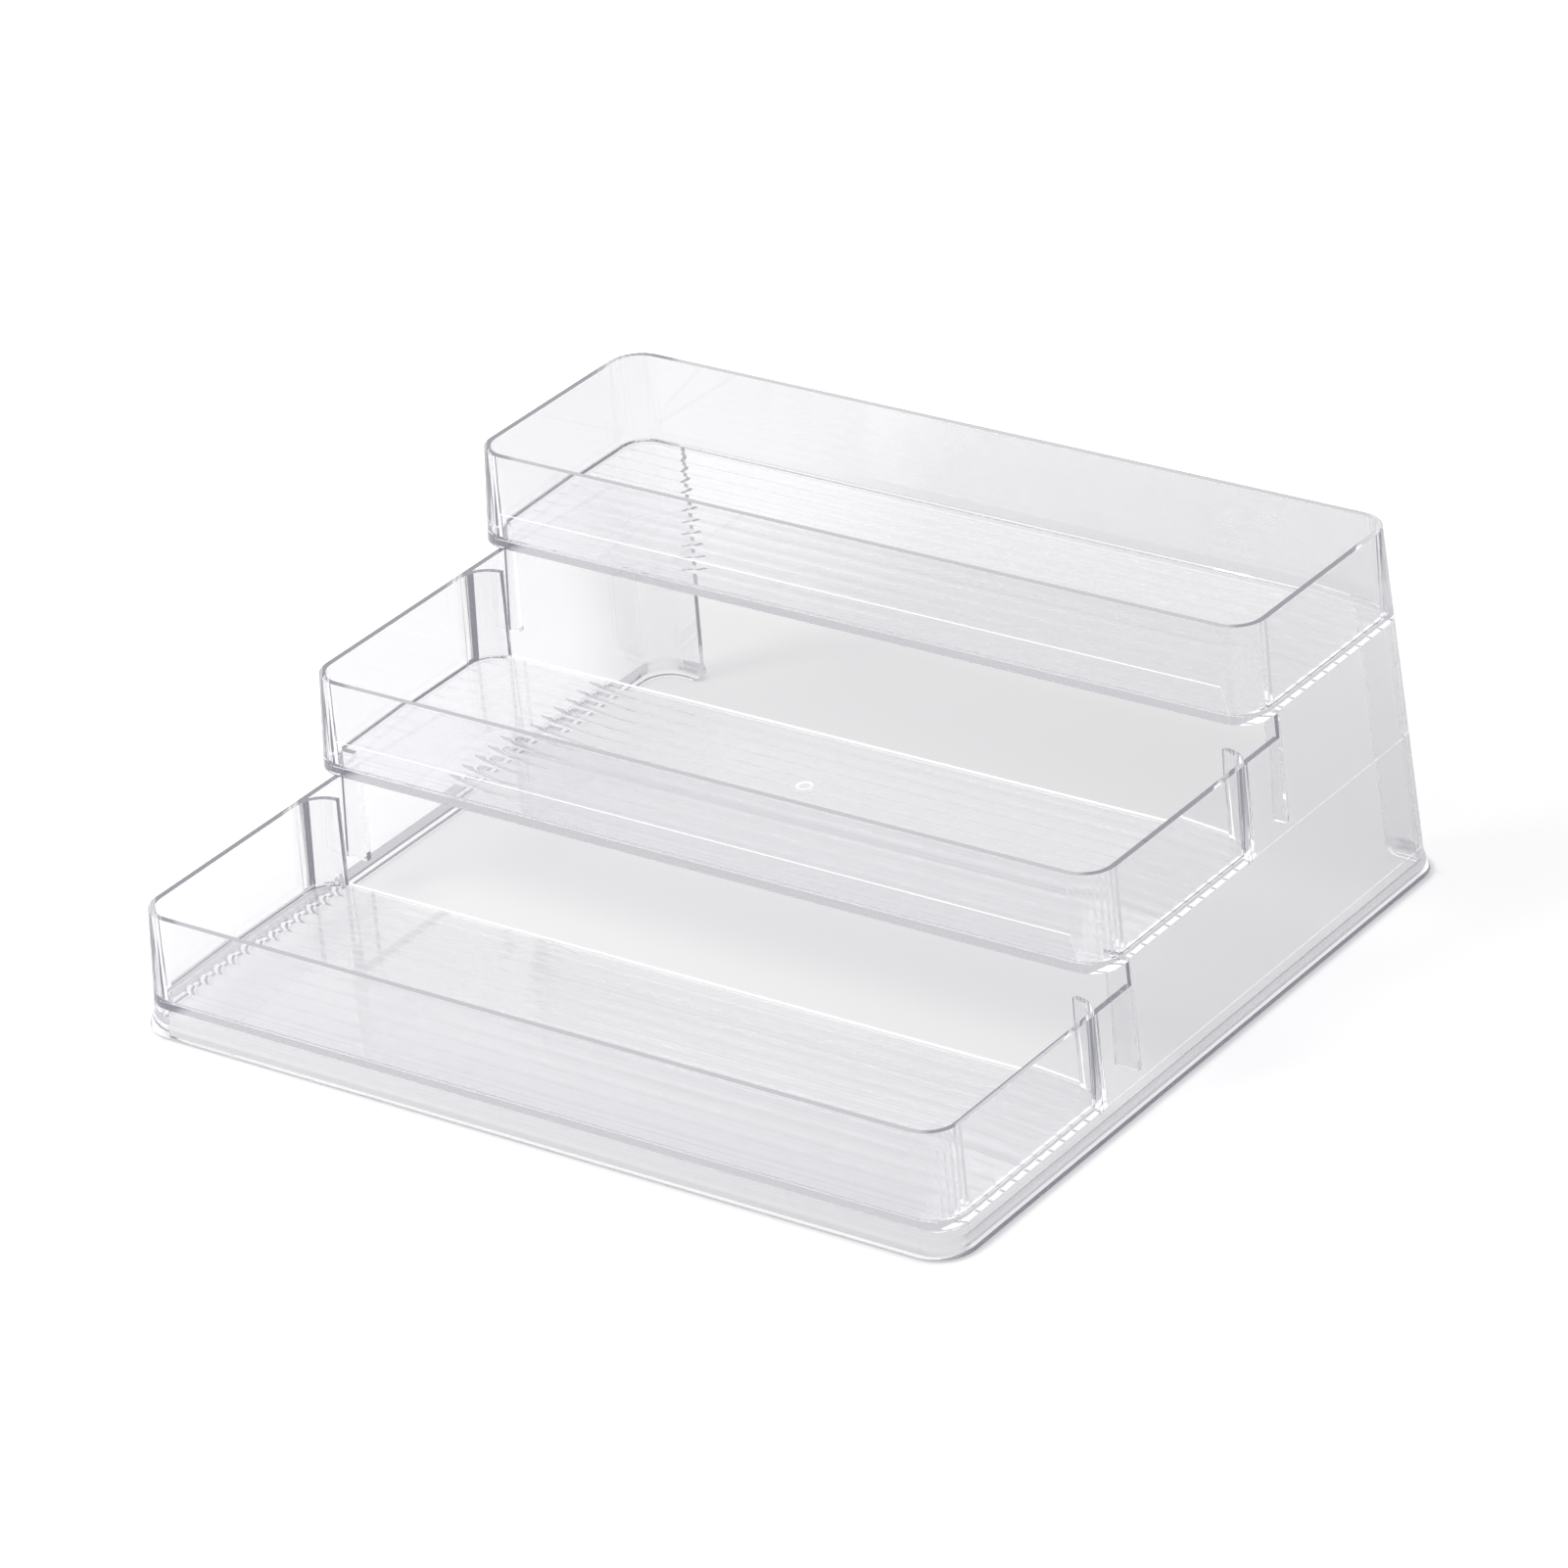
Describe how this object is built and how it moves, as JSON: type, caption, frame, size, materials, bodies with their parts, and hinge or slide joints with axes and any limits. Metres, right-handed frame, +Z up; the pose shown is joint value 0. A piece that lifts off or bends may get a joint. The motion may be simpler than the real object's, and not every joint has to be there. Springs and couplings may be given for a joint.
{
  "type": "stepped vanity organizer",
  "caption": "Clear plastic stepped organizer: open-top trays with ribbed floors rise like stairs to a full tub at the back, on a flared foot.",
  "frame": {"origin": "on the ground, under the middle of the foot's outline", "axes": "+X to the right, +Y to the back, where the tallest tray is, +Z up"},
  "size_m": [0.303, 0.277, 0.121],
  "materials": {
    "clear_plastic": "clear, glossy, as moulded"
  },
  "bodies": {
    "root": {"base_rim": "clear_plastic", "lower_tray": "clear_plastic", "middle_tray": "clear_plastic", "upper_tray": "clear_plastic", "left_side_panel": "clear_plastic", "right_side_panel": "clear_plastic", "left_rear_post": "clear_plastic", "right_rear_post": "clear_plastic", "left_lower_riser_strip": "clear_plastic", "right_lower_riser_strip": "clear_plastic", "left_upper_riser_strip": "clear_plastic", "right_upper_riser_strip": "clear_plastic"}
  },
  "joints": []
}
